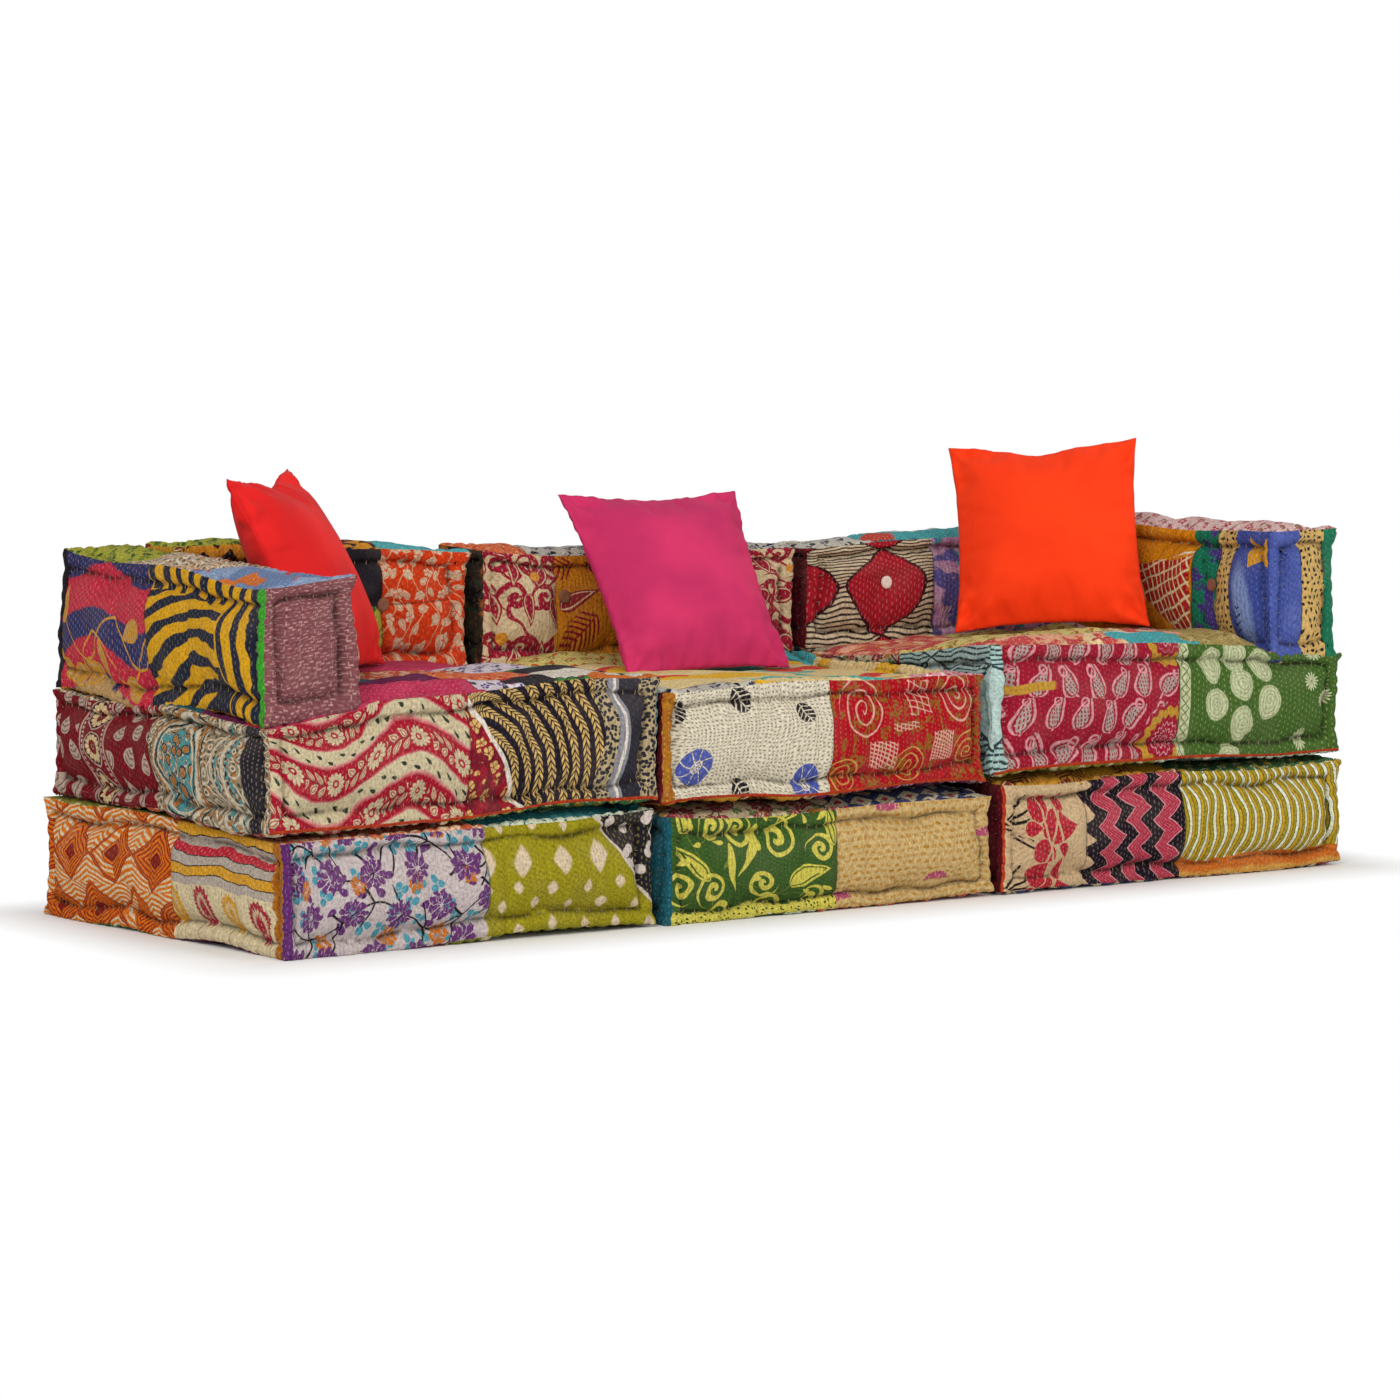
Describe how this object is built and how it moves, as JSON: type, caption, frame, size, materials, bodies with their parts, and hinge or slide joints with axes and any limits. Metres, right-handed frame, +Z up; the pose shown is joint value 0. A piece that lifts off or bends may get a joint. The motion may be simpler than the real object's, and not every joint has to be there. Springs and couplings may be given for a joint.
{
  "type": "modular pouf sofa",
  "caption": "Low patchwork sofa built from stacked square mattress poufs, with loose tufted arm and back bolsters and plain scatter pillows.",
  "frame": {"origin": "on the floor, at the middle of the sofa's length and depth", "axes": "+X to the right as seen from the front, along the sofa's length; +Y to the back, so the open front faces -Y; +Z up"},
  "size_m": [2.4336, 0.818, 0.8014],
  "materials": {
    "base_left_patchwork": "quilted patchwork of old printed cotton saris, hand stitched in rows",
    "cotton_filling": "loose carded cotton, matte",
    "base_mid_patchwork": "quilted patchwork of old printed cotton saris, hand stitched in rows",
    "base_right_patchwork": "quilted patchwork of old printed cotton saris, hand stitched in rows",
    "seat_left_patchwork": "quilted patchwork of old printed cotton saris, hand stitched in rows",
    "seat_mid_patchwork": "quilted patchwork of old printed cotton saris, hand stitched in rows",
    "seat_right_patchwork": "quilted patchwork of old printed cotton saris, hand stitched in rows",
    "arm_left_patchwork": "quilted patchwork of old printed cotton saris, hand stitched in rows",
    "button_cloth": "cotton drawn over a round button, matte",
    "twine": "twisted cotton tufting twine, matte",
    "arm_right_patchwork": "quilted patchwork of old printed cotton saris, hand stitched in rows",
    "back_left_patchwork": "quilted patchwork of old printed cotton saris, hand stitched in rows",
    "back_mid_patchwork": "quilted patchwork of old printed cotton saris, hand stitched in rows",
    "back_right_patchwork": "quilted patchwork of old printed cotton saris, hand stitched in rows",
    "red_cotton": "plain woven cotton, matte",
    "magenta_cotton": "plain woven cotton, matte",
    "orange_cotton": "plain woven cotton, matte"
  },
  "bodies": {
    "base_left": {"base_left_cover": "base_left_patchwork", "base_left_filling": "cotton_filling"},
    "base_mid": {"base_mid_cover": "base_mid_patchwork", "base_mid_filling": "cotton_filling"},
    "base_right": {"base_right_cover": "base_right_patchwork", "base_right_filling": "cotton_filling"},
    "seat_left": {"seat_left_cover": "seat_left_patchwork", "seat_left_filling": "cotton_filling"},
    "seat_mid": {"seat_mid_cover": "seat_mid_patchwork", "seat_mid_filling": "cotton_filling"},
    "seat_right": {"seat_right_cover": "seat_right_patchwork", "seat_right_filling": "cotton_filling"},
    "arm_left": {"arm_left_cover": "arm_left_patchwork", "arm_left_filling": "cotton_filling", "arm_left_buttons": "button_cloth", "arm_left_ties": "twine"},
    "arm_right": {"arm_right_cover": "arm_right_patchwork", "arm_right_filling": "cotton_filling", "arm_right_buttons": "button_cloth", "arm_right_ties": "twine"},
    "back_left": {"back_left_cover": "back_left_patchwork", "back_left_filling": "cotton_filling", "back_left_buttons": "button_cloth", "back_left_ties": "twine"},
    "back_mid": {"back_mid_cover": "back_mid_patchwork", "back_mid_filling": "cotton_filling", "back_mid_buttons": "button_cloth", "back_mid_ties": "twine"},
    "back_right": {"back_right_cover": "back_right_patchwork", "back_right_filling": "cotton_filling", "back_right_buttons": "button_cloth", "back_right_ties": "twine"},
    "pillow_red": {"pillow_red_cover": "red_cotton", "pillow_red_filling": "cotton_filling"},
    "pillow_magenta": {"pillow_magenta_cover": "magenta_cotton", "pillow_magenta_filling": "cotton_filling"},
    "pillow_orange": {"pillow_orange_cover": "orange_cotton", "pillow_orange_filling": "cotton_filling"}
  },
  "joints": [
    {"name": "base_left_apart", "type": "slide", "parent": "base_mid", "child": "base_left", "axis": [-1, 0, 0], "range_m": [0, 0.3]},
    {"name": "base_right_apart", "type": "slide", "parent": "base_mid", "child": "base_right", "axis": [1, 0, 0], "range_m": [0, 0.3]},
    {"name": "seat_left_lift", "type": "slide", "parent": "base_left", "child": "seat_left", "axis": [0, 0, 1], "range_m": [0, 0.25]},
    {"name": "seat_mid_lift", "type": "slide", "parent": "base_mid", "child": "seat_mid", "axis": [0, 0, 1], "range_m": [0, 0.25]},
    {"name": "seat_right_lift", "type": "slide", "parent": "base_right", "child": "seat_right", "axis": [0, 0, 1], "range_m": [0, 0.25]},
    {"name": "arm_left_lift", "type": "slide", "parent": "seat_left", "child": "arm_left", "axis": [0, 0, 1], "range_m": [0, 0.3]},
    {"name": "arm_right_lift", "type": "slide", "parent": "seat_right", "child": "arm_right", "axis": [0, 0, 1], "range_m": [0, 0.3]},
    {"name": "back_left_lift", "type": "slide", "parent": "seat_left", "child": "back_left", "axis": [0, 0, 1], "range_m": [0, 0.3]},
    {"name": "back_mid_lift", "type": "slide", "parent": "seat_mid", "child": "back_mid", "axis": [0, 0, 1], "range_m": [0, 0.3]},
    {"name": "back_right_lift", "type": "slide", "parent": "seat_right", "child": "back_right", "axis": [0, 0, 1], "range_m": [0, 0.3]},
    {"name": "pillow_red_lift", "type": "slide", "parent": "arm_left", "child": "pillow_red", "axis": [0, 0, 1], "range_m": [0, 0.3]},
    {"name": "pillow_magenta_lift", "type": "slide", "parent": "back_mid", "child": "pillow_magenta", "axis": [0, 0, 1], "range_m": [0, 0.3]},
    {"name": "pillow_orange_lift", "type": "slide", "parent": "back_right", "child": "pillow_orange", "axis": [0, 0, 1], "range_m": [0, 0.3]}
  ]
}
